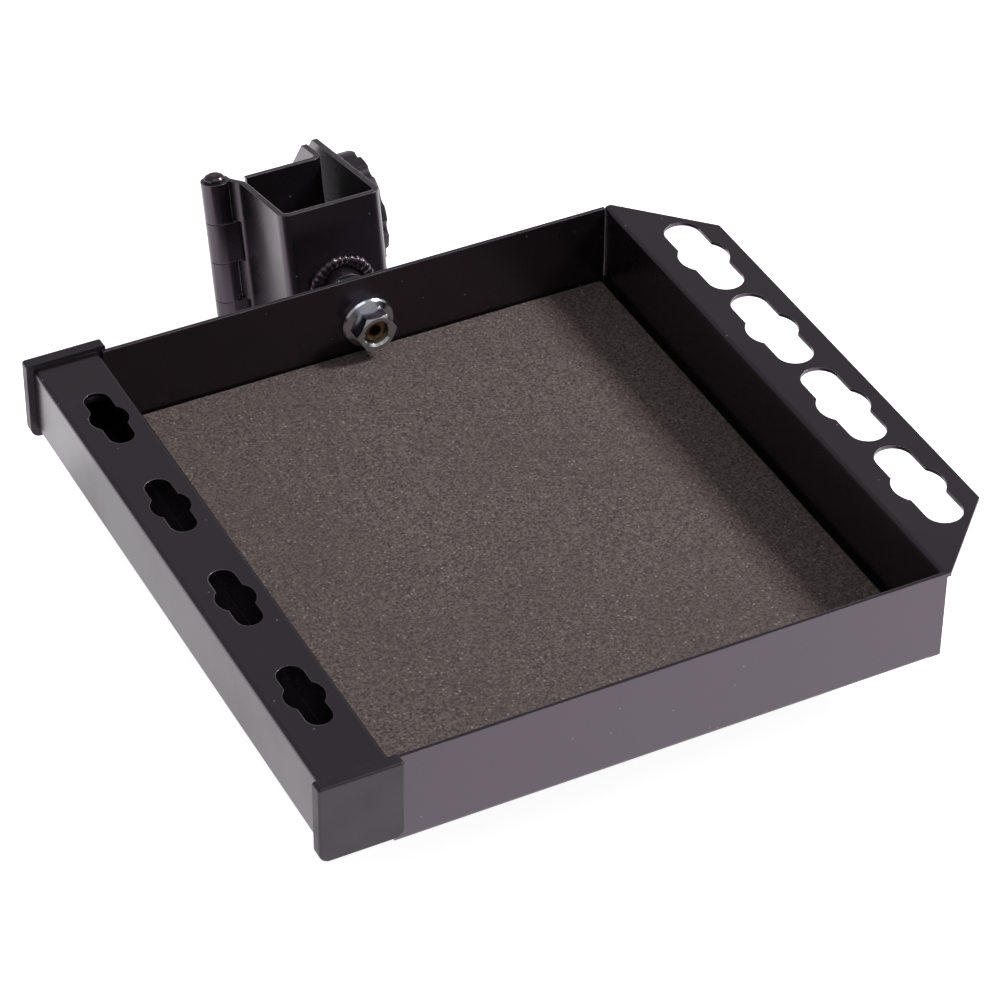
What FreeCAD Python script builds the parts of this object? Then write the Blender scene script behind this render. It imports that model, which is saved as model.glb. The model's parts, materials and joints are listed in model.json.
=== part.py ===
"""Clamp-on tool tray for a bicycle repair stand.

A folded steel tray with two slotted tool rails and a foam mat turns on a bolt through its
back wall.  The bolt is carried by a hinged clamp that closes round a leaning mast.

Millimetres, +X right, +Y back, +Z up.  The origin is the centre of the mast opening at the
clamp's mid-height, and the tray stands level.  The tray is drawn from its lower front left
corner and moved into place.  The clamp is drawn upright about the origin (x right, y back,
z along the mast) and then leaned back with the mast.
"""
import FreeCAD
import Part

import math
import os

V = FreeCAD.Vector
RIGHT = V(1, 0, 0)
BACK = V(0, 1, 0)
UP = V(0, 0, 1)

# ---- tray -----------------------------------------------------------------------------
SHEET = 1.5                     # tray steel
BEND = 0.3                      # inside bend radius of the tray steel
TRAY_DEPTH = 254.0              # front wall to back wall, outside
TRAY_HEIGHT = 38.3
RAIL_WIDTH = 26.5               # left tool rail, outer wall to basin wall
BASIN_RIGHT = 243.6             # outer face of the right wall
TRAY_WIDTH = 276.6              # over the right tool rail
RAIL_SKIRT = 9.9                # underside of the left rail, which is a closed box
RAIL_SEAM = 0.4                 # seam along the rail's underside, closed by a weld
SEAM = 1.2                      # open seam between two walls at the back
RELIEF = 3.0                    # corner relief of the folded blank
RAIL_CHAMFER = 31.6             # cut corners of the right tool rail
TRAY_CORNER = V(-137.2, -298.8, -15.5)

# ---- tool slots: an obround with a round hole over its middle --------------------------
RIGHT_SLOT = {"x": 261.0, "y": 48.1, "pitch": 53.0, "length": 48.4, "width": 14.7, "hole": 20.4}
LEFT_SLOT = {"x": 14.2, "y": 42.4, "pitch": 57.2, "length": 32.7, "width": 10.1, "hole": 14.9}
SLOTS = 4

# ---- foam mat ---------------------------------------------------------------------------
MAT_THICK = 3.4
MAT_GAP = 1.0
MAT_CORNER = 3.0

# ---- plastic end caps of the left rail ---------------------------------------------------
CAP_HEAD = 5.0                  # thickness in front of the rail
CAP_LEFT = -2.6
CAP_RIGHT = 29.3
CAP_BOTTOM = 6.7
CAP_TOP = 40.3
CAP_ROUND = 1.2
CAP_FOOT_ROUND = 4.0
PLUG_LENGTH = 24.0
PLUG_BOTTOM = 11.6
PLUG_PLAY = 0.2
PLUG_WALL = 2.0

# ---- clamp --------------------------------------------------------------------------------
PLATE = 2.4                     # clamp steel
CLAMP_BEND = 2.2                # inside bend radius of the clamp steel
LEAN = 11.5                     # degrees that the mast leans back from upright
HALF_HEIGHT = 34.2
WALL_OUT = 21.7                 # outer face of a side wall from the mast axis
FRONT_OUT = 23.1                # outer face of the front plate from the mast axis
DOOR_IN = 20.75                 # inner face of the door from the mast axis
DOOR_EAR_RIGHT = 16.0           # right face of the door's ear
EAR_END = 52.0
FIXED_EAR_TOP = 39.5            # where the fixed ear's upper and lower edges start to slant
DOOR_EAR_TOP = 36.9
HINGE_X = -28.9
KNUCKLE_R = 5.7
KNUCKLES = 4
KNUCKLE_GAP = 0.3
LEAF_CUT = 19.0                 # the fixed leaf ends here beside a knuckle of the door
DOOR_CUT = -17.5                # the door ends here beside a fixed knuckle

# ---- hinge pin -------------------------------------------------------------------------------
PIN_R = 3.25
PIN_PLAY = 0.05
PIN_HEAD_R = 4.2
PIN_HEAD = 2.6
CLIP_R = 5.2
CLIP = 1.0

# ---- pivot bolt (M10) and what is threaded on it --------------------------------------------
BOLT_R = 5.0
BOLT_Z = 2.0
BOLT_RECESS = 2.8               # the bolt ends this far inside the tray nut
BOLT_HEAD_R = 10.0
BOLT_HEAD = 3.0
THREAD_PLAY = 0.05
TRAY_HOLE_R = 5.5
PLATE_HOLE_R = 5.4
FACE_GAP = 0.05                 # between the tray's back wall and the parts it turns between
TRAY_NUT = {"flange_r": 10.9, "flange": 2.2, "flats": 15.0, "height": 10.0}
WALL_WASHER = {"r": 10.5, "bore": 5.25, "thick": 2.0}
LOCK_WASHER = {"r": 9.05, "bore": 5.1, "thick": 2.2, "split": 1.2}
WALL_NUT = {"flats": 17.0, "height": 5.0}
PLATE_NUT = {"flats": 17.0, "height": 8.0}
BOSS_R = 9.5                    # boss that is welded to the clamp's front plate
BOSS_BORE = 5.3
WELD = {"r": 14.6, "front_r": 11.2, "thick": 3.4}
WELD_PLAY = 0.03                # keeps the weld a separate solid

# ---- star knob (M8) ------------------------------------------------------------------------------
KNOB_Y = 36.9
KNOB_TRAVEL = 6.0               # the knob is drawn backed off by this much
KNOB_BOLT_R = 3.95
KNOB_BOLT_END = 16.35
KNOB_WASHER = {"r": 8.0, "bore": 4.25, "thick": 1.2}
KNOB_R = 24.2
KNOB_THICK = 9.0
KNOB_LOBES = 12
KNOB_SCALLOP_R = 4.2
KNOB_SCALLOP_AT = 26.8
KNOB_ROUND = 1.0
KNOB_HEAD = {"flats": 13.0, "height": 4.0}
FIXED_EAR_HOLE_R = 4.4
DOOR_EAR_HOLE_R = 4.3
EAR_NUT = {"flats": 13.0, "height": 4.0, "bore": 4.0}


# ---- helpers ----------------------------------------------------------------------------------------
def box(x0, x1, y0, y1, z0, z1):
    return Part.makeBox(x1 - x0, y1 - y0, z1 - z0, V(x0, y0, z0))


def rod(radius, start, end):
    return Part.makeCylinder(radius, (end - start).Length, start, end - start)


def prism(points, sweep):
    face = Part.Face(Part.makePolygon(points + [points[0]]))
    return face.extrude(sweep)


def lathe(profile):
    """Solid turned about Z from (radius, height) pairs."""
    points = [V(radius, 0, height) for radius, height in profile]
    face = Part.Face(Part.makePolygon(points + [points[0]]))
    return face.revolve(V(0, 0, 0), UP, 360)


def place(shape, position, axis):
    """Stand a shape drawn on +Z on position, pointing along axis."""
    moved = shape.copy()
    moved.Placement = FreeCAD.Placement(position, FreeCAD.Rotation(UP, axis)) * moved.Placement
    return moved


def washer(spec):
    profile = [(spec["bore"], 0), (spec["r"], 0), (spec["r"], spec["thick"]), (spec["bore"], spec["thick"])]
    return lathe(profile)


def hexagon(flats, height):
    corner = flats / math.sqrt(3)
    points = []
    for step in range(6):
        turn = math.radians(60 * step)
        points.append(V(corner * math.cos(turn), corner * math.sin(turn), 0))
    return prism(points, UP * height)


def nut(flats, height, bore):
    """Hexagon with its corners turned off at both ends."""
    corner = flats / math.sqrt(3) + 0.01
    face_r = flats / 2 * 0.97
    drop = (corner - face_r) * math.tan(math.radians(30))
    turned = lathe([(bore, 0), (face_r, 0), (corner, drop), (corner, height - drop),
                    (face_r, height), (bore, height)])
    return hexagon(flats, height).common(turned)


def join(shapes):
    return shapes[0].multiFuse(shapes[1:]).removeSplitter()


def folded_strip(points, thick, bend):
    """Edge-on outline of a sheet folded along a middle line of (a, b) pairs.

    Every corner is bent to the inside radius bend.
    """
    half = thick / 2
    middle = bend + half
    path = [V(a, b, 0) for a, b in points]
    legs = [(path[i + 1] - path[i]).normalize() for i in range(len(path) - 1)]

    def left_of(leg):
        return V(-leg.y, leg.x, 0)

    def side(sign):
        edges = []
        at = path[0] + left_of(legs[0]) * half * sign
        for i in range(1, len(path) - 1):
            before, after = legs[i - 1], legs[i]
            turn = math.atan2(before.x * after.y - before.y * after.x, before.dot(after))
            toward = 1 if turn > 0 else -1
            setback = middle * math.tan(abs(turn) / 2)
            centre = path[i] - before * setback + left_of(before) * middle * toward
            radius = (middle - half * sign * toward) * toward
            halfway = (before + after).normalize()
            first, mid, last = [centre - left_of(leg) * radius for leg in (before, halfway, after)]
            edges.append(Part.makeLine(at, first))
            edges.append(Part.Arc(first, mid, last).toShape())
            at = last
        end = path[-1] + left_of(legs[-1]) * half * sign
        edges.append(Part.makeLine(at, end))
        return edges

    edges = side(1) + side(-1)
    for point, leg in ((path[0], legs[0]), (path[-1], legs[-1])):
        edges.append(Part.makeLine(point + left_of(leg) * half, point - left_of(leg) * half))
    return Part.Face(Part.Wire(Part.__sortEdges__(edges)))


def sheet_along_y(points, thick, bend, y0, y1):
    """Sheet folded in the XZ plane, from y0 to y1."""
    shape = folded_strip(points, thick, bend).extrude(UP * (y1 - y0))
    shape.rotate(V(0, 0, 0), RIGHT, 90)
    shape.translate(BACK * y1)
    return shape


def sheet_along_x(points, thick, bend, x0, x1):
    """Sheet folded in the YZ plane, from x0 to x1."""
    shape = folded_strip(points, thick, bend).extrude(UP * (x1 - x0))
    shape.rotate(V(0, 0, 0), V(1, 1, 1), 120)
    shape.translate(RIGHT * x0)
    return shape


def sheet_along_z(points, thick, bend, z0, z1):
    """Sheet folded in the XY plane, from z0 to z1."""
    shape = folded_strip(points, thick, bend).extrude(UP * (z1 - z0))
    shape.translate(UP * z0)
    return shape


def lean(shape):
    """Stand a piece drawn upright about the origin on the leaning mast."""
    moved = shape.copy()
    moved.rotate(V(0, 0, 0), RIGHT, -LEAN)
    return moved


def in_place(shape):
    """Move a piece drawn from the tray's lower front left corner into place."""
    moved = shape.copy()
    moved.translate(TRAY_CORNER)
    return moved


# ---- tray ---------------------------------------------------------------------------------------------
def tool_slot(spec, step):
    """Cutter for one tool slot, its length along Y."""
    half = spec["width"] / 2
    run = spec["length"] / 2 - half
    x = spec["x"]
    y = spec["y"] + step * spec["pitch"]
    low, high = TRAY_HEIGHT - 3 * SHEET, TRAY_HEIGHT + SHEET
    cutter = box(x - half, x + half, y - run, y + run, low, high)
    for end in (y - run, y + run):
        cutter = cutter.fuse(rod(half, V(x, end, low), V(x, end, high)))
    middle = rod(spec["hole"] / 2, V(x, y, low), V(x, y, high))
    return cutter.fuse(middle).removeSplitter()


def rail_corner(y, inward):
    """Cutter for one cut corner of the right tool rail."""
    low = TRAY_HEIGHT - 3 * SHEET
    x = TRAY_WIDTH - RAIL_CHAMFER
    far = TRAY_WIDTH + 5
    points = [V(x, y, low), V(TRAY_WIDTH, y + inward * RAIL_CHAMFER, low),
              V(far, y + inward * RAIL_CHAMFER, low), V(far, y - inward * 5, low), V(x, y - inward * 5, low)]
    return prism(points, UP * 6 * SHEET)


def corner_weld(y0, y1):
    """Fill that closes the relief under a right-hand corner, rounded like the bends."""
    fill = box(BASIN_RIGHT - RELIEF - SHEET, BASIN_RIGHT, y0, y1, 0, RELIEF + SHEET)
    outside = 0 if y0 == 0 else TRAY_DEPTH
    edges = []
    for edge in fill.Edges:
        bounds = edge.BoundBox
        under = bounds.ZMax < 0.01
        side = bounds.XMin > BASIN_RIGHT - 0.01
        end = abs(bounds.Center.y - outside) < 0.01 and bounds.YLength < 0.01
        if under and (side or end):
            edges.append(edge)
    fill = fill.makeFillet(SHEET, edges)
    inward = 1 if y0 == 0 else -1
    hollow = [outside + inward * SHEET, outside + inward * 2 * (RELIEF + SHEET)]
    return fill.cut(box(BASIN_RIGHT - 20, BASIN_RIGHT - SHEET, min(hollow), max(hollow), SHEET, 20))


def tray_pan():
    half = SHEET / 2
    top = TRAY_HEIGHT - half
    wall = BASIN_RIGHT - half
    inner = RAIL_WIDTH - half
    underside = RAIL_SKIRT + half
    rail = [(RAIL_WIDTH - SHEET - RAIL_SEAM, underside), (half, underside), (half, top), (inner, top)]
    rim = [(wall, top), (TRAY_WIDTH, top)]
    floor = [(inner, half), (wall, half)]
    start = RELIEF + SHEET
    sheets = [sheet_along_y(rail + floor + rim, SHEET, BEND, RELIEF, TRAY_DEPTH - RELIEF),
              sheet_along_y(rail + [(inner, start)], SHEET, BEND, 0, TRAY_DEPTH),
              sheet_along_y([(wall, start)] + rim, SHEET, BEND, 0, TRAY_DEPTH)]
    left = RAIL_WIDTH + SEAM
    right = BASIN_RIGHT - SHEET - BEND
    lip = 3 * RELIEF
    front = [(half, TRAY_HEIGHT), (half, half), (lip, half)]
    back = [(TRAY_DEPTH - y, z) for y, z in front]
    sheets.append(sheet_along_x(front, SHEET, BEND, left, right))
    sheets.append(sheet_along_x(back, SHEET, BEND, left, right))
    sheets.append(box(right - 1, BASIN_RIGHT, 0, SHEET, start, TRAY_HEIGHT))
    seam = RAIL_WIDTH - SHEET - RAIL_SEAM
    sheets.append(box(seam - 0.5, seam + RAIL_SEAM + 0.5, 0, TRAY_DEPTH, RAIL_SKIRT, RAIL_SKIRT + SHEET))
    for y0, y1 in ((0, start), (TRAY_DEPTH - start, TRAY_DEPTH)):
        sheets.append(corner_weld(y0, y1))
    pan = join(sheets)
    for step in range(SLOTS):
        pan = pan.cut(tool_slot(LEFT_SLOT, step))
        pan = pan.cut(tool_slot(RIGHT_SLOT, step))
    pan = pan.cut(rail_corner(0, 1)).cut(rail_corner(TRAY_DEPTH, -1))
    pan = in_place(pan)
    return pan.cut(rod(TRAY_HOLE_R, V(0, wall_face() - 5, BOLT_Z), V(0, wall_face() + 5, BOLT_Z)))


def foam_mat():
    mat = box(RAIL_WIDTH + MAT_GAP, BASIN_RIGHT - SHEET - 2 * MAT_GAP, SHEET + MAT_GAP,
              TRAY_DEPTH - SHEET - MAT_GAP, SHEET, SHEET + MAT_THICK)
    corners = [edge for edge in mat.Edges if edge.BoundBox.ZLength > MAT_THICK - 0.01]
    return in_place(mat.makeFillet(MAT_CORNER, corners))


def end_cap_upright():
    """End cap at the front of the left rail: a thick head and a hollow plug."""
    head = box(CAP_LEFT, CAP_RIGHT, -CAP_HEAD, 0, CAP_BOTTOM, CAP_TOP)
    foot = []
    for edge in head.Edges:
        bounds = edge.BoundBox
        if bounds.YLength > CAP_HEAD - 0.01 and bounds.ZMax < CAP_BOTTOM + 0.01:
            foot.append(edge)
    head = head.makeFillet(CAP_FOOT_ROUND, foot)
    shoulders = []
    for edge in head.Edges:
        bounds = edge.BoundBox
        if bounds.YLength > CAP_HEAD - 0.01 and bounds.ZMin > CAP_TOP - 0.01:
            shoulders.append(edge)
    head = head.makeFillet(CAP_ROUND, shoulders)
    rim = [edge for edge in head.Edges if edge.BoundBox.YMax < -CAP_HEAD + 0.01]
    head = head.makeFillet(CAP_ROUND * 0.8, rim)
    left = SHEET + PLUG_PLAY
    right = RAIL_WIDTH - SHEET - PLUG_PLAY
    top = TRAY_HEIGHT - SHEET - PLUG_PLAY
    plug = box(left, right, -1, PLUG_LENGTH, PLUG_BOTTOM, top)
    hollow = box(left + PLUG_WALL, right - PLUG_WALL, 0, PLUG_LENGTH + 1,
                 PLUG_BOTTOM + PLUG_WALL, top - PLUG_WALL)
    return join([head, plug.cut(hollow)])


def front_end_cap():
    return in_place(end_cap_upright())


def back_end_cap():
    return in_place(end_cap_upright().mirror(V(0, TRAY_DEPTH / 2, 0), BACK))


# ---- clamp ------------------------------------------------------------------------------------------------
def hinge_point(z):
    return V(HINGE_X, DOOR_IN + KNUCKLE_R, z)


def knuckle_tube():
    low, high = hinge_point(-HALF_HEIGHT), hinge_point(HALF_HEIGHT)
    return rod(KNUCKLE_R, low, high).cut(rod(PIN_R + PIN_PLAY, low, high))


def knuckle_band(number):
    """Cutter height of one knuckle, counted from the top, open past the clamp's ends."""
    pitch = 2 * HALF_HEIGHT / KNUCKLES
    high = HALF_HEIGHT - number * pitch
    low = high - pitch
    high = high + 5 if number == 0 else high + KNUCKLE_GAP / 2
    low = low - 5 if number == KNUCKLES - 1 else low - KNUCKLE_GAP / 2
    return low, high


def ear_corners(slant_start):
    """Cutters for the slanted upper and lower corners of an ear."""
    reach = EAR_END + 1 - slant_start
    cutters = []
    for side in (1, -1):
        edge = side * HALF_HEIGHT
        points = [V(0, slant_start, edge), V(0, EAR_END + 1, edge - side * reach),
                  V(0, EAR_END + 1, edge + side * 2), V(0, slant_start, edge + side * 2)]
        cutters.append(prism(points, RIGHT * 30))
    return cutters


def clamp_body():
    half = PLATE / 2
    wall = WALL_OUT - half
    front = -FRONT_OUT + half
    leaf = HINGE_X + KNUCKLE_R - half
    hinge_y = DOOR_IN + KNUCKLE_R
    frame = [(-wall, 6), (-wall, front), (wall, front), (wall, EAR_END)]
    sweep = [(leaf, hinge_y), (leaf + 0.1, 24.3), (-wall, 17.5), (-wall, 5)]
    body = join([sheet_along_z(frame, PLATE, CLAMP_BEND, -HALF_HEIGHT, HALF_HEIGHT),
                 sheet_along_z(sweep, PLATE, 2 * CLAMP_BEND, -HALF_HEIGHT, HALF_HEIGHT), knuckle_tube()])
    for number in (1, 3):
        low, high = knuckle_band(number)
        body = body.cut(box(HINGE_X - 10, -wall + 5, LEAF_CUT, hinge_y + 10, low, high))
    for cutter in ear_corners(FIXED_EAR_TOP):
        body = body.cut(cutter)
    body = body.cut(rod(FIXED_EAR_HOLE_R, V(WALL_OUT - 5, KNOB_Y, 0), V(WALL_OUT + 5, KNOB_Y, 0)))
    hole = rod(PLATE_HOLE_R, V(0, -FRONT_OUT - 20, BOLT_Z), V(0, 0, BOLT_Z))
    return lean(body).cut(hole)


def clamp_door():
    half = PLATE / 2
    plane = DOOR_IN + half
    ear = DOOR_EAR_RIGHT - half
    path = [(HINGE_X, plane), (ear, plane), (ear, EAR_END)]
    door = join([sheet_along_z(path, PLATE, CLAMP_BEND, -HALF_HEIGHT, HALF_HEIGHT), knuckle_tube()])
    for number in (0, 2):
        low, high = knuckle_band(number)
        door = door.cut(box(HINGE_X - 10, DOOR_CUT, DOOR_IN - 2, plane + 15, low, high))
    for number, side in ((1, 1), (3, -1)):
        low, high = knuckle_band(number)
        keep = hinge_point(0).y - KNUCKLE_R - 1
        trim = KNUCKLE_GAP / 2
        door = door.cut(box(HINGE_X - 10, DOOR_CUT, keep, plane + 15, high - KNUCKLE_GAP, high))
        if side > 0:
            door = door.cut(box(HINGE_X - 10, DOOR_CUT, keep, plane + 15, low, low + 2 * trim))
    for cutter in ear_corners(DOOR_EAR_TOP):
        door = door.cut(cutter)
    door = door.cut(rod(DOOR_EAR_HOLE_R, V(ear - 5, KNOB_Y, 0), V(ear + 5, KNOB_Y, 0)))
    return lean(door)


def hinge_pin():
    low = -HALF_HEIGHT - KNUCKLE_GAP - CLIP - 0.8
    pin = lathe([(0, low), (PIN_R - 0.5, low), (PIN_R, low + 0.5), (PIN_R, HALF_HEIGHT),
                 (PIN_HEAD_R, HALF_HEIGHT), (PIN_HEAD_R, HALF_HEIGHT + PIN_HEAD / 2),
                 (PIN_HEAD_R - 0.7, HALF_HEIGHT + PIN_HEAD * 0.8),
                 (PIN_HEAD_R - 2.0, HALF_HEIGHT + PIN_HEAD), (0, HALF_HEIGHT + PIN_HEAD)])
    pin.translate(hinge_point(0))
    return lean(pin)


def hinge_pin_clip():
    ring = washer({"r": CLIP_R, "bore": PIN_R, "thick": CLIP})
    ring.translate(hinge_point(-HALF_HEIGHT - KNUCKLE_GAP - CLIP))
    return lean(ring)


# ---- pivot bolt and its hardware, in line along Y -------------------------------------------------------------
def wall_face():
    """Outer face of the tray's back wall."""
    return TRAY_CORNER.y + TRAY_DEPTH


def on_bolt(y):
    return V(0, y, BOLT_Z)


def bolt_height(y):
    """Height along the mast, in the upright clamp, of the bolt axis at the plane y."""
    turn = math.radians(LEAN)
    return (BOLT_Z + y * math.sin(turn)) / math.cos(turn)


def behind(y):
    """Half space behind the leaning plane y."""
    return lean(box(-60, 60, y, y + 120, -90, 90))


def stack_start(piece):
    """Front face of a piece of the stack behind the back wall."""
    y = wall_face() + FACE_GAP
    for name, thick in (("wall_washer", WALL_WASHER["thick"]), ("lock_washer", LOCK_WASHER["thick"]),
                        ("wall_nut", WALL_NUT["height"]), ("plate_nut", PLATE_NUT["height"])):
        if name == piece:
            return y
        y += thick
    return y


def pivot_bolt():
    tip = wall_face() - SHEET - FACE_GAP - TRAY_NUT["height"] + BOLT_RECESS
    shank = place(lathe([(0, 0), (BOLT_R - 0.8, 0), (BOLT_R, 0.8), (BOLT_R, 60), (0, 60)]), on_bolt(tip), BACK)
    inner = -FRONT_OUT + PLATE
    shank = shank.cut(behind(inner + BOLT_HEAD / 2))
    dome = lathe([(0, 0), (BOLT_HEAD_R, 0), (BOLT_HEAD_R, 0.8), (BOLT_HEAD_R - 1.2, 2.0),
                  (BOLT_HEAD_R - 4.5, BOLT_HEAD), (0, BOLT_HEAD)])
    dome = lean(place(dome, V(0, inner, bolt_height(inner)), BACK))
    return join([shank, dome])


def pivot_boss():
    start = stack_start("pivot_boss")
    boss = rod(BOSS_R, on_bolt(start), on_bolt(start + 20))
    boss = boss.cut(behind(-FRONT_OUT - WELD_PLAY))
    return boss.cut(rod(BOSS_BORE, on_bolt(-60), on_bolt(0)))


def boss_weld():
    bead = lathe([(0, 0), (WELD["front_r"], 0), (WELD["front_r"] + 1.8, WELD["thick"] * 0.35),
                  (WELD["r"], WELD["thick"] - WELD_PLAY), (0, WELD["thick"] - WELD_PLAY)])
    seat = -FRONT_OUT - WELD["thick"]
    bead = lean(place(bead, V(0, seat, bolt_height(-FRONT_OUT)), BACK))
    return bead.cut(rod(BOSS_R + WELD_PLAY, on_bolt(-60), on_bolt(0)))


def plate_nut():
    shape = nut(PLATE_NUT["flats"], PLATE_NUT["height"], BOLT_R + THREAD_PLAY)
    return place(shape, on_bolt(stack_start("plate_nut")), BACK)


def wall_nut():
    shape = nut(WALL_NUT["flats"], WALL_NUT["height"], BOLT_R + THREAD_PLAY)
    return place(shape, on_bolt(stack_start("wall_nut")), BACK)


def wall_lock_washer():
    ring = washer(LOCK_WASHER)
    split = LOCK_WASHER["split"]
    slit = box(0, LOCK_WASHER["r"] + 1, -split / 2, split / 2, -5, 5)
    slit.rotate(V(0, 0, 0), RIGHT, 25)
    ring = ring.cut(slit)
    return place(ring, on_bolt(stack_start("lock_washer")), BACK)


def wall_washer():
    return place(washer(WALL_WASHER), on_bolt(stack_start("wall_washer")), BACK)


def tray_flange_nut():
    spec = TRAY_NUT
    bore = BOLT_R + THREAD_PLAY
    height = spec["height"]
    corner = spec["flats"] / math.sqrt(3) + 0.01
    flange = lathe([(bore, 0), (spec["flange_r"], 0), (spec["flange_r"], spec["flange"] - 0.8),
                    (spec["flange_r"] - 0.6, spec["flange"]), (corner - 0.6, spec["flange"] + 1.0),
                    (bore, spec["flange"] + 1.0)])
    turned = lathe([(bore, 0), (corner, 0), (corner, height - 0.9), (spec["flats"] / 2 * 0.97, height),
                    (bore + 0.9, height), (bore, height - 0.9)])
    shape = join([flange, hexagon(spec["flats"], height).common(turned)])
    return place(shape, on_bolt(wall_face() - SHEET - FACE_GAP), BACK * -1)


# ---- star knob: axis along X -------------------------------------------------------------------------------------
def on_knob(x):
    return V(x, KNOB_Y, 0)


def knob_face():
    """Face of the knob that bears on its washer."""
    return WALL_OUT + KNOB_TRAVEL + KNOB_WASHER["thick"] + FACE_GAP


def knob_washer():
    start = WALL_OUT + KNOB_TRAVEL + FACE_GAP / 2
    spec = dict(KNOB_WASHER, thick=KNOB_WASHER["thick"] - FACE_GAP / 2)
    return lean(place(washer(spec), on_knob(start), RIGHT))


def star_knob():
    knob = rod(KNOB_R, V(0, 0, 0), UP * KNOB_THICK)
    for step in range(KNOB_LOBES):
        turn = math.radians(360 / KNOB_LOBES * step)
        at = V(math.cos(turn), math.sin(turn), 0) * KNOB_SCALLOP_AT
        knob = knob.cut(rod(KNOB_SCALLOP_R, at - UP, at + UP * (KNOB_THICK + 1)))
    rims = [edge for edge in knob.Edges if edge.BoundBox.ZLength < 0.01]
    knob = knob.makeFillet(KNOB_ROUND, rims)
    knob = knob.cut(rod(KNOB_BOLT_R, V(0, 0, -1), UP * KNOB_THICK))
    pocket = hexagon(KNOB_HEAD["flats"], KNOB_HEAD["height"] + 1)
    pocket.translate(UP * (KNOB_THICK - KNOB_HEAD["height"]))
    return lean(place(knob.cut(pocket), on_knob(knob_face()), RIGHT))


def knob_bolt():
    seat = knob_face() + KNOB_THICK - KNOB_HEAD["height"]
    length = seat - KNOB_BOLT_END
    shank = lathe([(0, 0), (KNOB_BOLT_R - 0.7, 0), (KNOB_BOLT_R, 0.7), (KNOB_BOLT_R, length + 1),
                   (0, length + 1)])
    head = hexagon(KNOB_HEAD["flats"], KNOB_HEAD["height"])
    head.translate(UP * length)
    return lean(place(join([shank, head]), on_knob(KNOB_BOLT_END), RIGHT))


def ear_nut():
    start = DOOR_EAR_RIGHT - PLATE - EAR_NUT["height"]
    return lean(place(nut(EAR_NUT["flats"], EAR_NUT["height"], EAR_NUT["bore"]), on_knob(start), RIGHT))


PIECES = [tray_pan, foam_mat, front_end_cap, back_end_cap, clamp_body, clamp_door, hinge_pin,
          hinge_pin_clip, pivot_bolt, boss_weld, pivot_boss, plate_nut, wall_nut,
          wall_lock_washer, wall_washer, tray_flange_nut, ear_nut, knob_bolt, knob_washer, star_knob]


def main():
    os.makedirs("parts", exist_ok=True)
    for make in PIECES:
        shape = make()
        name = make.__name__
        if not shape.isValid() or len(shape.Solids) != 1:
            raise ValueError("%s: valid %s, solids %d" % (name, shape.isValid(), len(shape.Solids)))
        solid = shape.Solids[0]
        solid.exportStep("parts/%s.step" % name)
        size = solid.BoundBox
        print("%-16s %7.1f cm3   x %7.1f %7.1f   y %7.1f %7.1f   z %7.1f %7.1f" % (
            name, solid.Volume / 1000, size.XMin, size.XMax, size.YMin, size.YMax, size.ZMin, size.ZMax))


main()
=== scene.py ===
import json
import math

import bpy
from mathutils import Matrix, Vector

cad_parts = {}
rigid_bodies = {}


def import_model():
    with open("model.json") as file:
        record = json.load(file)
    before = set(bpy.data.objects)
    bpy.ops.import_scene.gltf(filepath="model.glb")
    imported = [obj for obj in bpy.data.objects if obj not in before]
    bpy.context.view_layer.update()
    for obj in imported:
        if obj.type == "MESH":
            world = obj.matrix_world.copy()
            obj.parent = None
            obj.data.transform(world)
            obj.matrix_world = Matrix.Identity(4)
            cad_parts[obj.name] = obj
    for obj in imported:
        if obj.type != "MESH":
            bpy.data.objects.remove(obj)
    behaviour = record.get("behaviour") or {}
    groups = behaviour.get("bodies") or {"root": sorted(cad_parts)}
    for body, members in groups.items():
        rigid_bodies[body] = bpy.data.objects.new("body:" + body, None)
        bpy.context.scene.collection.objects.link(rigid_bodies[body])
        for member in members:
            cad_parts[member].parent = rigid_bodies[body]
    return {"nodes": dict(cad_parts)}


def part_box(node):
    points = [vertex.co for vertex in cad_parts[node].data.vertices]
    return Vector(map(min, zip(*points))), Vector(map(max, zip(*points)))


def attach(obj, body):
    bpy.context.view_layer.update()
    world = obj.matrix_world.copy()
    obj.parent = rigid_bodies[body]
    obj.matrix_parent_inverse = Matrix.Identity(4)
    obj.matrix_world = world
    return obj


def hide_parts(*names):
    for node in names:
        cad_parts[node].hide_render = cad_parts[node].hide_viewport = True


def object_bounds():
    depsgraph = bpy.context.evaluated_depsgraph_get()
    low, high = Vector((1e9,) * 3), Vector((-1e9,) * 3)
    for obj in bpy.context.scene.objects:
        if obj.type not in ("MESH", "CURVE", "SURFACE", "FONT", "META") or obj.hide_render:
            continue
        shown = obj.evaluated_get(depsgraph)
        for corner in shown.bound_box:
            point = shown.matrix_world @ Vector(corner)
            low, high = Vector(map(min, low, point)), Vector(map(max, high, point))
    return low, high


bl_info = {
    "name": "Clamp-on tool tray",
    "version": (1, 0, 0),
    "blender": (4, 5, 0),
    "location": "3D View > Sidebar > Tool tray",
    "description": "Finishes, foam mat and studio for a clamp-on tool tray",
    "category": "Object",
}

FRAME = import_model()
NODES = FRAME["nodes"]
CAD_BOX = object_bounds()
MM = 0.001

WHITE = (1.0, 1.0, 1.0, 1.0)
DUST = (0.23, 0.22, 0.22, 1.0)
LINT = (0.40, 0.35, 0.31, 1.0)
CRUMBS = (0.50, 0.46, 0.40, 1.0)
COAT_TINT = (1.0, 0.80, 1.0, 1.0)
PLASTIC_TINT = (1.0, 0.88, 1.0, 1.0)
COAT_EDGE = 0.5 * MM
PLATED_EDGE = 0.25 * MM
BOLT_CENTRE = (0.0, 0.0, 2.0 * MM)      # where the pivot bolt's axis crosses the frame's XZ plane

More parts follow.
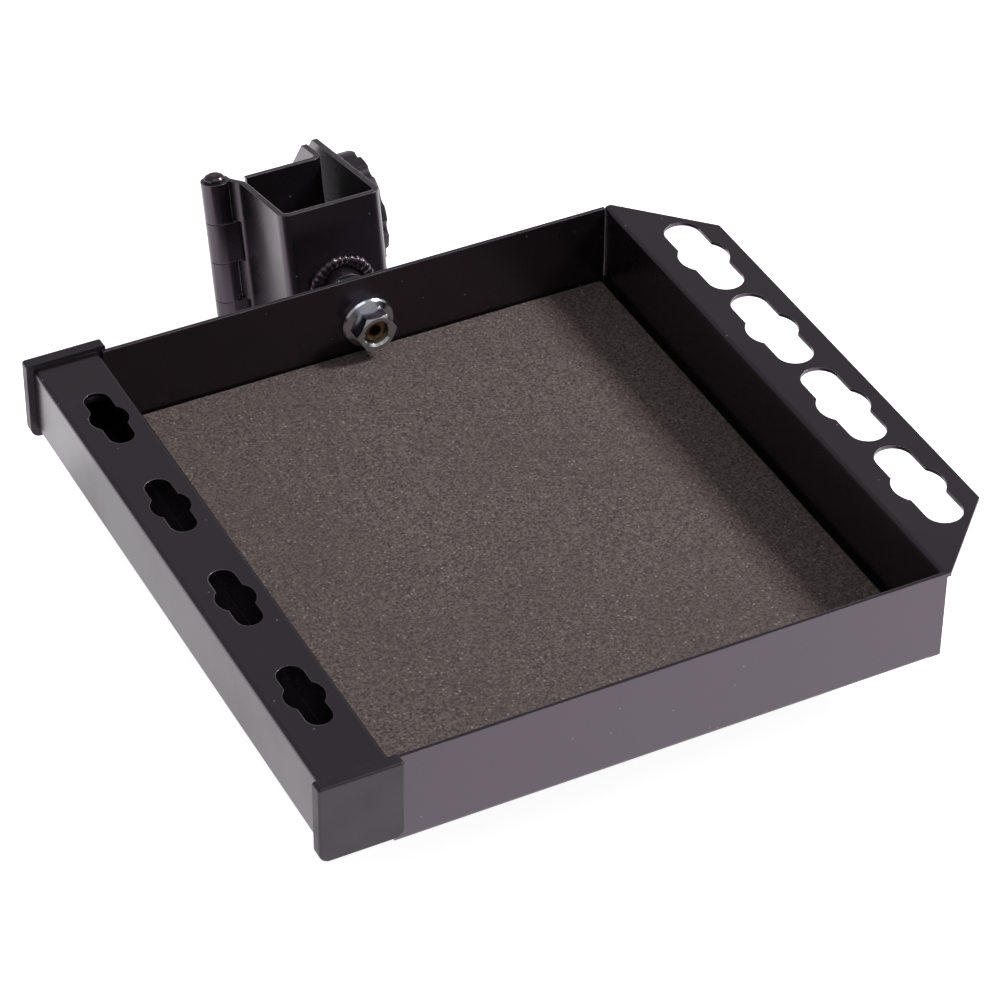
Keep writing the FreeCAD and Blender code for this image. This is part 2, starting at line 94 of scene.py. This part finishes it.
CAMERA_PLACE = (-0.52726, -1.18450, 0.91996)
CAMERA_TURN = (51.218, -0.418, -26.916)     # degrees
CAMERA_LENS = 143.57                        # mm, as is the sensor
CAMERA_SENSOR = 36.0
FLOOR_DROP = 0.5 * MM
LAMP_AIM = (0.0, -0.17, 0.0)
OVERHEAD_PLACE, OVERHEAD_SIZE = (-0.3, -0.7, 1.6), 1.0
RIGHT_PLACE, RIGHT_SIZE = (1.45, -0.45, 1.45), 0.45

HEAD_HEIGHT = 4.0 * MM
HEAD_FLATS = 13.0 * MM
HEAD_CHAMFER = 0.3 * MM
HEAD_RING = 1.4 * MM
HEAD_STEP = 0.3 * MM
HEAD_DISH = 0.25 * MM
SHANK_RADIUS = 3.95 * MM
SHANK_TIP = 0.3 * MM
SHANK_TAPER = 0.9
SHANK_OVERLAP = 0.1 * MM

DROP_SHAPE = (1.0, 0.84, 0.85)
DROP_TILT = -22                         # degrees
BEAD_WANDER_TO = 60                     # degrees, the side that the bead strays to
BEAD_VOXEL = 0.22 * MM
BEAD_FOOT = 0.03 * MM
BEAD_SINK = 1.7                         # mm from the middle of the weld's box to the plate

POWDER_COATED = ("tray_pan", "clamp_body", "clamp_door", "hinge_pin", "pivot_boss")
MOULDED = ("front_end_cap", "back_end_cap")
ZINC_PLATED = ("hinge_pin_clip", "plate_nut", "wall_nut", "wall_lock_washer",
               "wall_washer", "tray_flange_nut", "ear_nut", "knob_washer")


# ---- settings ---------------------------------------------------------------------------

class FinishSettings(bpy.types.PropertyGroup):
    """Colours and gloss of the tray's surfaces."""

    powder: bpy.props.FloatVectorProperty(
        name="Powder coat", description="Colour of the black powder coat", subtype="COLOR",
        size=3, min=0, max=1, default=(0.0065, 0.0052, 0.0062))
    # Lighter colour along every edge: painted edge highlight, broken up by noise like worn coat.
    powder_edge_highlight_and_wear: bpy.props.FloatVectorProperty(
        name="Powder coat edges", description="Colour where the coat is thin over an edge",
        subtype="COLOR", size=3, min=0, max=1, default=(0.36, 0.34, 0.36))
    powder_roughness: bpy.props.FloatProperty(
        name="Powder coat roughness", description="Roughness of the powder coat",
        subtype="FACTOR", min=0, max=1, default=0.24)
    weld_roughness: bpy.props.FloatProperty(
        name="Weld roughness", description="Roughness of the thick coat on the weld",
        subtype="FACTOR", min=0, max=1, default=0.13)
    plastic: bpy.props.FloatVectorProperty(
        name="Plastic", description="Colour of the end caps and the knob", subtype="COLOR",
        size=3, min=0, max=1, default=(0.0140, 0.0120, 0.0155))
    foam: bpy.props.FloatVectorProperty(
        name="Foam", description="Colour of the foam mat", subtype="COLOR",
        size=3, min=0, max=1, default=(0.094, 0.0725, 0.068))
    zinc: bpy.props.FloatVectorProperty(
        name="Zinc", description="Colour of the plated fasteners", subtype="COLOR",
        size=3, min=0, max=1, default=(0.74, 0.75, 0.81))


class MatSettings(bpy.types.PropertyGroup):
    """The foam mat on the tray's floor."""

    cell: bpy.props.FloatProperty(
        name="Cell", description="Size of the mesh cells of the mat", subtype="DISTANCE",
        unit="LENGTH", min=0.001, max=0.02, default=0.003)
    edge_round: bpy.props.FloatProperty(
        name="Edge", description="Rounding of the cut edge", subtype="DISTANCE",
        unit="LENGTH", min=0.0001, max=0.001, default=0.0005)
    wave: bpy.props.FloatProperty(
        name="Wave", description="Unevenness of the mat's top", subtype="DISTANCE",
        unit="LENGTH", min=0, max=0.002, default=0.0004)


class ThreadSettings(bpy.types.PropertyGroup):
    """The thread of the knob's bolt."""

    pitch: bpy.props.FloatProperty(
        name="Pitch", description="Distance from one thread to the next", subtype="DISTANCE",
        unit="LENGTH", min=0.0005, max=0.003, default=0.00125)
    depth: bpy.props.FloatProperty(
        name="Depth", description="Depth of the thread", subtype="DISTANCE",
        unit="LENGTH", min=0.0001, max=0.002, default=0.0007)
    sides: bpy.props.IntProperty(
        name="Sides", description="Sides of the thread's round outline",
        min=12, max=96, default=36)


class WeldSettings(bpy.types.PropertyGroup):
    """The weld bead round the pivot boss."""

    radius: bpy.props.FloatProperty(
        name="Radius", description="Radius of the middle of the bead", subtype="DISTANCE",
        unit="LENGTH", min=0.005, max=0.03, default=0.0117)
    wander: bpy.props.FloatProperty(
        name="Wander", description="How far the bead strays from a true circle", subtype="DISTANCE",
        unit="LENGTH", min=0, max=0.003, default=0.0010)
    width: bpy.props.FloatProperty(
        name="Width", description="Half width of the bead", subtype="DISTANCE",
        unit="LENGTH", min=0.001, max=0.006, default=0.0025)
    ripples: bpy.props.IntProperty(
        name="Ripples", description="Number of ripples once round the bead",
        min=8, max=80, default=32)
    lean: bpy.props.FloatProperty(
        name="Lean", description="Angle that the clamp's front plate leans back", subtype="ANGLE",
        unit="ROTATION", min=0, max=1, default=math.radians(11.5))


class StudioSettings(bpy.types.PropertyGroup):
    """Floor, lights and camera."""

    floor_colour: bpy.props.FloatVectorProperty(
        name="Floor", description="Colour of the floor", subtype="COLOR",
        size=3, min=0, max=1, default=(0.86, 0.86, 0.86))
    floor_size: bpy.props.FloatProperty(
        name="Floor size", description="Width of the floor", subtype="DISTANCE",
        unit="LENGTH", min=1, max=50, default=16)
    floor_glow: bpy.props.FloatProperty(
        name="Floor glow", description="Light that the floor gives off, as a light table does",
        min=0, max=10, default=0.86)
    sky: bpy.props.FloatProperty(
        name="Room light", description="Strength of the even light of the room",
        min=0, max=10, default=0.33)
    key: bpy.props.FloatProperty(
        name="Key light", description="Power of the large light overhead", subtype="POWER",
        unit="POWER", min=0, max=500, default=3)
    side: bpy.props.FloatProperty(
        name="Side light", description="Power of the light at the right", subtype="POWER",
        unit="POWER", min=0, max=500, default=42)


# ---- modelling helpers --------------------------------------------------------------------

def deselect_all():
    for other in bpy.context.view_layer.objects:
        other.select_set(False)
    bpy.context.view_layer.objects.active = None


def edit():
    bpy.ops.object.mode_set(mode="EDIT")


def leave_edit():
    bpy.ops.object.mode_set(mode="OBJECT")


def apply_modifier(obj, kind, **values):
    modifier = obj.modifiers.new(kind.title(), kind)
    for name, value in values.items():
        setattr(modifier, name, value)
    bpy.context.view_layer.objects.active = obj
    bpy.ops.object.modifier_apply(modifier=modifier.name)


def settle(obj, name):
    """Name a finished piece and put its place into its mesh."""
    obj.name = name
    obj.data.name = name
    deselect_all()
    obj.select_set(True)
    bpy.context.view_layer.objects.active = obj
    bpy.ops.object.transform_apply(location=True, rotation=True, scale=True)
    return obj


# ---- material helpers ---------------------------------------------------------------------

class Recipe:
    """A material's node tree, built one node at a time on object coordinates."""

    def __init__(self, name):
        self.material = bpy.data.materials.new(name)
        self.material.use_nodes = True
        self.tree = self.material.node_tree
        self.shader = self.tree.nodes["Principled BSDF"]
        self.place = self.add("ShaderNodeTexCoord").outputs["Object"]

    def add(self, kind, inputs=None, **values):
        made = self.tree.nodes.new(kind)
        for name, value in values.items():
            setattr(made, name, value)
        for name, value in (inputs or {}).items():
            if isinstance(value, bpy.types.NodeSocket):
                self.tree.links.new(value, made.inputs[name])
            else:
                made.inputs[name].default_value = value
        return made

    def set(self, name, value):
        if isinstance(value, bpy.types.NodeSocket):
            self.tree.links.new(value, self.shader.inputs[name])
        else:
            self.shader.inputs[name].default_value = value

    def stretched(self, scale):
        made = self.add("ShaderNodeMapping", {"Vector": self.place, "Scale": scale})
        return made.outputs["Vector"]

    def noise(self, scale, detail=3.0, vector=None):
        made = self.add("ShaderNodeTexNoise", {"Vector": vector or self.place, "Scale": scale,
                                               "Detail": detail})
        return made.outputs["Fac"]

    def spread(self, value, low, high, start=0.0, end=1.0):
        made = self.add("ShaderNodeMapRange", {"Value": value, "From Min": low, "From Max": high,
                                               "To Min": start, "To Max": end})
        return made.outputs["Result"]

    def math(self, kind, first, second):
        return self.add("ShaderNodeMath", {0: first, 1: second}, operation=kind).outputs[0]

    def blend(self, share, first, second):
        made = self.add("ShaderNodeMix", data_type="RGBA")
        for index, value in ((0, share), (6, first), (7, second)):
            socket = made.inputs[index]
            if isinstance(value, bpy.types.NodeSocket):
                self.tree.links.new(value, socket)
            else:
                socket.default_value = value
        return made.outputs[2]

    def specks(self, scale, share, size):
        """Sparse dots: one in share cells of a cellular pattern, each a small round spot."""
        cells = self.add("ShaderNodeTexVoronoi", {"Vector": self.place, "Scale": scale})
        chosen = self.add("ShaderNodeSeparateColor", {"Color": cells.outputs["Color"]}).outputs[0]
        kept = self.math("LESS_THAN", chosen, share)
        spot = self.spread(cells.outputs["Distance"], size, size * 0.4)
        return self.math("MULTIPLY", kept, spot)

    def rounded_edges(self, radius):
        """Normal of softened edges, and a mask that is 1 along the edges."""
        soft = self.add("ShaderNodeBevel", {"Radius": radius}, samples=4).outputs["Normal"]
        true = self.add("ShaderNodeNewGeometry").outputs["Normal"]
        dot = self.add("ShaderNodeVectorMath", {0: soft, 1: true}, operation="DOT_PRODUCT")
        return soft, self.spread(dot.outputs["Value"], 0.95, 0.80)

    def bump(self, height, strength, depth, normal=None):
        inputs = {"Height": height, "Strength": strength, "Distance": depth}
        if normal is not None:
            inputs["Normal"] = normal
        self.set("Normal", self.add("ShaderNodeBump", inputs).outputs["Normal"])


def rgba(colour, gain=1.0):
    return tuple(min(1.0, channel * gain) for channel in colour) + (1.0,)


def powder_coat(name, finish, roughness):
    made = Recipe(name)
    soft, edge = made.rounded_edges(COAT_EDGE)
    cloud = made.noise(scale=9.0, detail=4.0)
    tone = made.blend(made.spread(cloud, 0.35, 0.65), rgba(finish.powder, 0.82),
                      rgba(finish.powder, 1.22))
    worn = made.spread(made.noise(scale=55.0, detail=5.0), 0.42, 0.68)
    # Painted edge highlight along every edge, broken up by noise like worn coat.
    edge_highlight_and_wear = made.math("MULTIPLY", edge, made.spread(worn, 0.0, 1.0, 0.35, 1.0))
    tone = made.blend(edge_highlight_and_wear, tone, rgba(finish.powder_edge_highlight_and_wear))
    dust = made.specks(scale=330.0, share=0.035, size=0.16)
    tone = made.blend(made.math("MULTIPLY", dust, 0.55), tone, DUST)
    scuffs = made.spread(made.noise(38.0, 8.0, made.stretched((1.0, 1.0, 5.0))), 0.70, 0.78)
    tone = made.blend(made.math("MULTIPLY", scuffs, 0.35), tone, rgba(finish.powder, 4.0))
    made.set("Base Color", tone)
    rough = made.spread(made.noise(24.0, 5.0), 0.3, 0.7, roughness - 0.05, roughness + 0.07)
    made.set("Roughness", rough)
    made.shader.inputs["Specular IOR Level"].default_value = 0.82
    made.shader.inputs["Specular Tint"].default_value = COAT_TINT
    made.bump(made.noise(scale=750.0, detail=2.0), 0.05, 0.12 * MM, soft)
    return made.material


def moulded_plastic(name, colour, grain, strength, roughness):
    made = Recipe(name)
    soft, edge = made.rounded_edges(COAT_EDGE)
    cloud = made.noise(scale=30.0, detail=4.0)
    tone = made.blend(made.spread(cloud, 0.3, 0.7), rgba(colour, 0.8), rgba(colour, 1.25))
    # Lighter along the edges: painted edge highlight.
    tone = made.blend(made.math("MULTIPLY", edge, 0.5), tone, rgba(colour, 4.0))
    made.set("Base Color", tone)
    made.set("Roughness", made.spread(made.noise(scale=80.0, detail=4.0), 0.3, 0.7,
                                      roughness - 0.05, roughness + 0.08))
    made.shader.inputs["Specular IOR Level"].default_value = 0.40
    made.shader.inputs["Specular Tint"].default_value = PLASTIC_TINT
    made.bump(made.noise(grain, 2.0), strength, 0.2 * MM, soft)
    return made.material


def foam(finish):
    made = Recipe("fine_black_foam")
    grain = made.noise(scale=1050.0, detail=2.0)
    cloud = made.noise(scale=16.0, detail=4.0)
    tone = made.blend(made.spread(grain, 0.3, 0.7), rgba(finish.foam, 0.30),
                      rgba(finish.foam, 1.70))
    tone = made.blend(made.spread(cloud, 0.35, 0.65, 0.0, 0.35), tone, rgba(finish.foam, 0.75))
    lint = made.specks(scale=620.0, share=0.16, size=0.34)
    tone = made.blend(made.math("MULTIPLY", lint, 0.45), tone, LINT)
    crumbs = made.specks(scale=150.0, share=0.006, size=0.15)
    tone = made.blend(made.math("MULTIPLY", crumbs, 0.7), tone, CRUMBS)
    made.set("Base Color", tone)
    made.set("Roughness", made.spread(grain, 0.2, 0.8, 0.86, 0.97))
    made.shader.inputs["Specular IOR Level"].default_value = 0.3
    made.shader.inputs["Sheen Weight"].default_value = 0.05
    made.shader.inputs["Sheen Roughness"].default_value = 0.5
    made.bump(made.noise(scale=1100.0, detail=3.0), 0.55, 0.25 * MM)
    return made.material


def plated(name, colour, roughness, tint, centre=None):
    """Plated steel. A centre on a bolt's axis along Y gives the bolt's end a dark middle: painted
    shade that stands for a hollow end.
    """
    made = Recipe(name)
    soft = made.rounded_edges(PLATED_EDGE)[0]
    cloud = made.noise(scale=160.0, detail=4.0)
    tone = made.blend(made.spread(cloud, 0.35, 0.7), rgba(colour), rgba(tint))
    if centre is not None:
        arm = made.add("ShaderNodeMapping", {"Vector": made.place,
                                             "Location": [-part for part in centre],
                                             "Scale": (1.0, 0.0, 1.0)}).outputs["Vector"]
        reach = made.add("ShaderNodeVectorMath", {0: arm}, operation="LENGTH").outputs["Value"]
        # Dark middle of the bolt's end: painted shade of a hollow end.
        tone = made.blend(made.spread(reach, 2.9 * MM, 2.2 * MM), tone, rgba(tint, 0.12))
    made.set("Base Color", tone)
    made.shader.inputs["Metallic"].default_value = 1.0
    made.set("Roughness", made.spread(made.noise(scale=300.0, detail=5.0), 0.3, 0.7,
                                      roughness * 0.75, roughness * 1.35))
    made.bump(made.noise(900.0, 3.0, made.stretched((1.0, 3.0, 1.0))), 0.08, 0.1 * MM, soft)
    return made.material


def coat(node, material):
    obj = NODES[node]
    obj.data.materials.clear()
    obj.data.materials.append(material)


# ---- operators ------------------------------------------------------------------------------

class TOOLTRAY_OT_stage(bpy.types.Operator):
    """Set up the camera, the pale floor and the soft lights"""

    bl_idname = "tooltray.stage"
    bl_label = "Camera, floor and lights"

    def execute(self, context):
        studio = context.scene.tooltray_studio
        camera = bpy.data.objects.new("camera", bpy.data.cameras.new("camera"))
        camera.location = CAMERA_PLACE
        camera.rotation_euler = tuple(math.radians(turn) for turn in CAMERA_TURN)
        camera.data.lens = CAMERA_LENS
        camera.data.sensor_width = CAMERA_SENSOR
        context.scene.collection.objects.link(camera)
        context.scene.camera = camera
        deselect_all()
        bpy.ops.mesh.primitive_plane_add(size=studio.floor_size,
                                         location=(0, 0, CAD_BOX[0][2] - FLOOR_DROP))
        floor = settle(context.object, "floor")
        recipe = Recipe("pale_floor")
        pale = recipe.spread(recipe.noise(scale=2.0, detail=2.0), 0.3, 0.7)
        recipe.set("Base Color", recipe.blend(pale, rgba(studio.floor_colour, 0.985),
                                              rgba(studio.floor_colour)))
        recipe.shader.inputs["Roughness"].default_value = 0.9
        recipe.shader.inputs["Emission Color"].default_value = WHITE
        recipe.shader.inputs["Emission Strength"].default_value = studio.floor_glow
        floor.data.materials.append(recipe.material)
        world = bpy.data.worlds.new("room")
        world.use_nodes = True
        backdrop = world.node_tree.nodes["Background"]
        backdrop.inputs["Color"].default_value = WHITE
        backdrop.inputs["Strength"].default_value = studio.sky
        context.scene.world = world
        self.lamp("overhead", OVERHEAD_PLACE, OVERHEAD_SIZE, studio.key)
        self.lamp("right", RIGHT_PLACE, RIGHT_SIZE, studio.side)
        context.scene.view_settings.view_transform = "Standard"
        return {"FINISHED"}

    def lamp(self, name, place, size, power):
        data = bpy.data.lights.new(name, "AREA")
        data.shape = "SQUARE"
        data.size = size
        data.energy = power
        made = bpy.data.objects.new(name, data)
        made.location = place
        aim = Vector(LAMP_AIM) - Vector(place)
        made.rotation_euler = aim.to_track_quat("-Z", "Y").to_euler()
        bpy.context.scene.collection.objects.link(made)


class TOOLTRAY_OT_finishes(bpy.types.Operator):
    """Give every metal and plastic part its finish"""

    bl_idname = "tooltray.finishes"
    bl_label = "Finishes"

    def execute(self, context):
        finish = context.scene.tooltray_finish
        black = powder_coat("satin_black_powder_coat", finish, finish.powder_roughness)
        for name in POWDER_COATED:
            coat(name, black)
        caps = moulded_plastic("semi_matt_cap_plastic", finish.plastic, 1400.0, 0.12, 0.42)
        for name in MOULDED:
            coat(name, caps)
        coat("star_knob", moulded_plastic("textured_knob_plastic", finish.plastic,
                                          650.0, 0.45, 0.46))
        zinc = plated("bright_zinc", finish.zinc, 0.18, (0.60, 0.63, 0.68))
        for name in ZINC_PLATED:
            coat(name, zinc)
        coat("knob_bolt", plated("dull_zinc", (0.26, 0.265, 0.28), 0.42, (0.18, 0.185, 0.20)))
        coat("boss_weld", powder_coat("glossy_black_powder_coat", finish, finish.weld_roughness))
        coat("pivot_bolt", plated("yellow_zinc", (0.30, 0.20, 0.105), 0.28, (0.12, 0.08, 0.045),
                                  centre=BOLT_CENTRE))
        return {"FINISHED"}


class TOOLTRAY_OT_mat(bpy.types.Operator):
    """Lay the foam mat on the tray's floor"""

    bl_idname = "tooltray.mat"
    bl_label = "Foam mat"

    def execute(self, context):
        mat = context.scene.tooltray_mat
        low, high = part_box("foam_mat")
        size = high - low
        deselect_all()
        columns = round(size.x / mat.cell)
        rows = round(size.y / mat.cell)
        middle = (low + high) / 2
        top = high.z - mat.wave / 2
        bpy.ops.mesh.primitive_grid_add(x_subdivisions=columns, y_subdivisions=rows, size=1,
                                        location=(middle.x, middle.y, top))
        piece = context.object
        edit()
        bpy.ops.transform.resize(value=(size.x, size.y, 1))
        leave_edit()
        texture = bpy.data.textures.new("mat_wave", "CLOUDS")
        texture.noise_scale = 0.05
        apply_modifier(piece, "DISPLACE", texture=texture, strength=mat.wave, mid_level=0.5,
                       texture_coords="LOCAL")
        apply_modifier(piece, "SOLIDIFY", thickness=top - low.z - mat.wave / 2, offset=-1)
        apply_modifier(piece, "BEVEL", width=mat.edge_round, segments=3, limit_method="ANGLE",
                       angle_limit=math.radians(50))
        piece = settle(piece, "foam_liner")
        bpy.ops.object.shade_smooth_by_angle(angle=math.radians(40))
        piece.data.materials.append(foam(context.scene.tooltray_finish))
        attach(piece, "tray")
        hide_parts("foam_mat")
        return {"FINISHED"}


class TOOLTRAY_OT_knob_bolt(bpy.types.Operator):
    """Cut the thread of the knob's bolt and set its hexagon head in the knob"""

    bl_idname = "tooltray.knob_bolt"
    bl_label = "Knob bolt"

    def execute(self, context):
        thread = context.scene.tooltray_thread
        low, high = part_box("knob_bolt")
        middle = (low + high) / 2
        core = SHANK_RADIUS - thread.depth
        shank = high.x - low.x - HEAD_HEIGHT
        turns = int(shank / thread.pitch)
        deselect_all()
        bpy.ops.mesh.primitive_circle_add(vertices=thread.sides, radius=core * SHANK_TAPER,
                                          fill_type="NGON")
        rod = context.object
        edit()
        bpy.ops.mesh.select_all(action="SELECT")
        self.raise_end(SHANK_TIP, core / (core * SHANK_TAPER))
        for _ in range(turns):
            self.raise_end(thread.pitch / 2, SHANK_RADIUS / core)
            self.raise_end(thread.pitch / 2, core / SHANK_RADIUS)
        self.raise_end(shank - SHANK_TIP - turns * thread.pitch + SHANK_OVERLAP, 1.0)
        bpy.ops.mesh.select_all(action="SELECT")
        bpy.ops.mesh.normals_make_consistent(inside=False)
        leave_edit()
        bpy.ops.object.shade_smooth_by_angle(angle=math.radians(25))
        deselect_all()
        bpy.ops.mesh.primitive_cylinder_add(vertices=6, radius=HEAD_FLATS / math.sqrt(3),
                                            depth=HEAD_HEIGHT,
                                            location=(0, 0, shank + HEAD_HEIGHT / 2),
                                            rotation=(0, 0, self.corner_turn(middle, high)))
        head = context.object
        apply_modifier(head, "BEVEL", width=HEAD_CHAMFER, segments=2, limit_method="ANGLE")
        edit()
        bpy.ops.mesh.select_mode(type="FACE")
        bpy.ops.mesh.select_all(action="DESELECT")
        leave_edit()
        for face in head.data.polygons:
            face.select = face.normal.z > 0.99
        edit()
        bpy.ops.mesh.inset(thickness=HEAD_RING, depth=0)
        bpy.ops.mesh.inset(thickness=HEAD_STEP, depth=-HEAD_DISH)
        leave_edit()
        rod.select_set(True)
        head.select_set(True)
        context.view_layer.objects.active = rod
        bpy.ops.object.join()
        rod.rotation_euler = (0, math.radians(90), 0)
        rod.location = (low.x, middle.y, middle.z)
        piece = settle(rod, "knob_bolt_threaded")
        piece.data.materials.clear()
        piece.data.materials.append(NODES["knob_bolt"].data.materials[0])
        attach(piece, "knob")
        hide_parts("knob_bolt")
        return {"FINISHED"}

    def corner_turn(self, middle, high):
        """Turn of the hexagon in the knob's pocket, from the frame's own bolt."""
        reach = [(vertex.co - middle) for vertex in NODES["knob_bolt"].data.vertices
                 if vertex.co.x > high.x - 0.1 * MM]
        corner = max(reach, key=lambda arm: arm.y ** 2 + arm.z ** 2)
        return math.atan2(corner.z, corner.y)

    def raise_end(self, height, gain):
        bpy.ops.mesh.extrude_region_move(TRANSFORM_OT_translate={"value": (0, 0, height)})
        bpy.ops.transform.resize(value=(gain, gain, 1))


class TOOLTRAY_OT_weld(bpy.types.Operator):
    """Lay the rippled weld bead round the pivot boss"""

    bl_idname = "tooltray.weld"
    bl_label = "Boss weld"

    def execute(self, context):
        weld = context.scene.tooltray_weld
        low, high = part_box("boss_weld")
        outward = Vector((0, -math.cos(weld.lean), math.sin(weld.lean)))
        base = (low + high) / 2 - outward * BEAD_SINK * MM
        deselect_all()
        drops = []
        for step in range(weld.ripples):
            turn = 2 * math.pi * step / weld.ripples
            reach = weld.radius + weld.wander * math.cos(turn - math.radians(BEAD_WANDER_TO))
            swell = 1 + 0.16 * math.sin(3 * turn + 0.4) + 0.08 * math.sin(7 * turn + 2.0)
            width = weld.width * swell
            bpy.ops.mesh.primitive_ico_sphere_add(
                subdivisions=4, radius=width,
                location=(reach * math.cos(turn), reach * math.sin(turn), 0.25 * weld.width))
            edit()
            bpy.ops.transform.resize(value=DROP_SHAPE)
            leave_edit()
            context.object.rotation_euler = (math.radians(DROP_TILT), 0, turn)
            drops.append(context.object)
        for drop in drops:
            drop.select_set(True)
        bead = drops[0]
        context.view_layer.objects.active = bead
        bpy.ops.object.join()
        bpy.ops.object.transform_apply(location=True, rotation=True, scale=True)
        apply_modifier(bead, "REMESH", mode="VOXEL", voxel_size=BEAD_VOXEL,
                       use_smooth_shade=True)
        apply_modifier(bead, "SMOOTH", factor=0.5, iterations=8)
        edit()
        bpy.ops.mesh.select_mode(type="VERT")
        bpy.ops.mesh.select_all(action="DESELECT")
        leave_edit()
        for vertex in bead.data.vertices:
            vertex.select = vertex.co.z < BEAD_FOOT
        edit()
        bpy.ops.transform.resize(value=(1, 1, 0), center_override=(0, 0, BEAD_FOOT))
        leave_edit()
        bead.rotation_euler = (math.radians(90) - weld.lean, 0, 0)
        bead.location = base
        piece = settle(bead, "boss_weld_bead")
        bpy.ops.object.shade_smooth_by_angle(angle=math.radians(60))
        piece.data.materials.clear()
        piece.data.materials.append(NODES["boss_weld"].data.materials[0])
        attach(piece, "clamp")
        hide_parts("boss_weld")
        return {"FINISHED"}


class TOOLTRAY_PT_panel(bpy.types.Panel):
    """Steps that finish the tool tray"""

    bl_idname = "TOOLTRAY_PT_panel"
    bl_label = "Tool tray"
    bl_space_type = "VIEW_3D"
    bl_region_type = "UI"
    bl_category = "Tool tray"

    def draw(self, context):
        for step in STEPS:
            self.layout.operator(step.bl_idname)
        for group in ("tooltray_finish", "tooltray_mat", "tooltray_thread", "tooltray_weld",
                      "tooltray_studio"):
            settings = getattr(context.scene, group)
            for name in settings.__annotations__:
                self.layout.prop(settings, name)


STEPS = (TOOLTRAY_OT_stage, TOOLTRAY_OT_finishes, TOOLTRAY_OT_mat, TOOLTRAY_OT_knob_bolt,
         TOOLTRAY_OT_weld)
GROUPS = (FinishSettings, MatSettings, ThreadSettings, WeldSettings, StudioSettings)


def register():
    for kind in GROUPS + STEPS + (TOOLTRAY_PT_panel,):
        bpy.utils.register_class(kind)
    bpy.types.Scene.tooltray_finish = bpy.props.PointerProperty(type=FinishSettings)
    bpy.types.Scene.tooltray_mat = bpy.props.PointerProperty(type=MatSettings)
    bpy.types.Scene.tooltray_thread = bpy.props.PointerProperty(type=ThreadSettings)
    bpy.types.Scene.tooltray_weld = bpy.props.PointerProperty(type=WeldSettings)
    bpy.types.Scene.tooltray_studio = bpy.props.PointerProperty(type=StudioSettings)


def unregister():
    del bpy.types.Scene.tooltray_studio
    del bpy.types.Scene.tooltray_weld
    del bpy.types.Scene.tooltray_thread
    del bpy.types.Scene.tooltray_mat
    del bpy.types.Scene.tooltray_finish
    for kind in reversed(GROUPS + STEPS + (TOOLTRAY_PT_panel,)):
        bpy.utils.unregister_class(kind)


def main():
    register()
    for step in STEPS:
        group, name = step.bl_idname.split(".")
        getattr(getattr(bpy.ops, group), name)()


if __name__ == "__main__":
    main()
